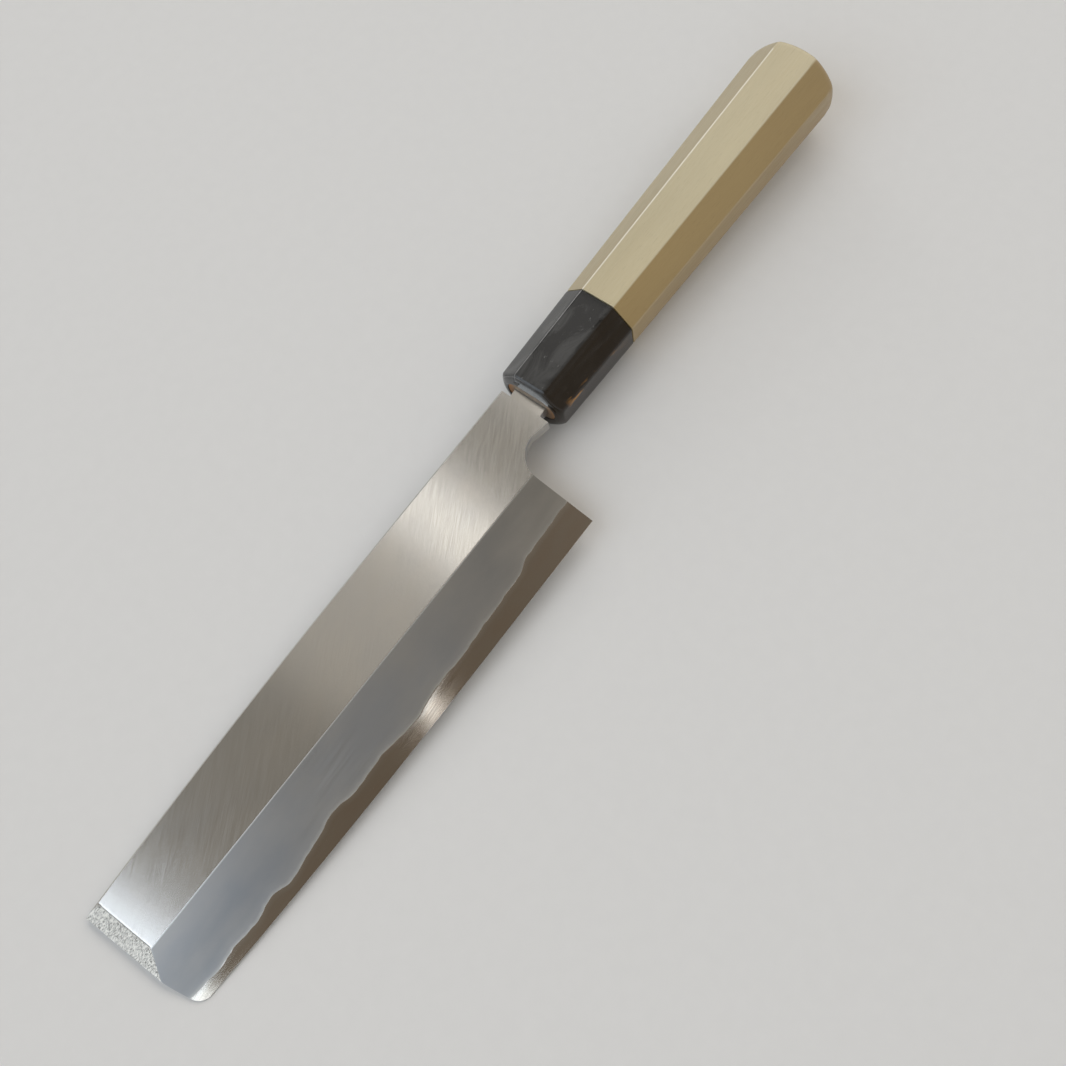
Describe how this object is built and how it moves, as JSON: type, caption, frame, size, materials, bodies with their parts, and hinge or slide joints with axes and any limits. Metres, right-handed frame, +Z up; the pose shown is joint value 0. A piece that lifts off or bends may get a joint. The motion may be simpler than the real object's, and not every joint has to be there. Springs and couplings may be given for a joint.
{
  "type": "usuba knife",
  "caption": "Left-handed single-bevel vegetable knife with a wavy weld line on its bevel, an octagonal pale wood handle and a black horn ferrule",
  "frame": {"origin": "centre of the box's footprint, on the table that the knife lies on", "axes": "+X from the butt to the nose of the blade, +Y toward the cutting edge, +Z up out of the bevelled face"},
  "size_m": [0.313, 0.049, 0.027],
  "materials": {
    "soft_iron": "satin ground flat, hazy matte bevel",
    "hard_steel": "polished near the edge, satin back",
    "horn": "polished black horn with grey and amber streaks",
    "pale_wood": "smooth fine-grained wood, lightly oiled",
    "brown_filler": "dull brown filler"
  },
  "bodies": {
    "root": {"soft_iron_body": "soft_iron", "hard_steel_edge": "hard_steel", "horn_ferrule": "horn", "wood_grip": "pale_wood", "mouth_filler": "brown_filler"}
  },
  "joints": []
}
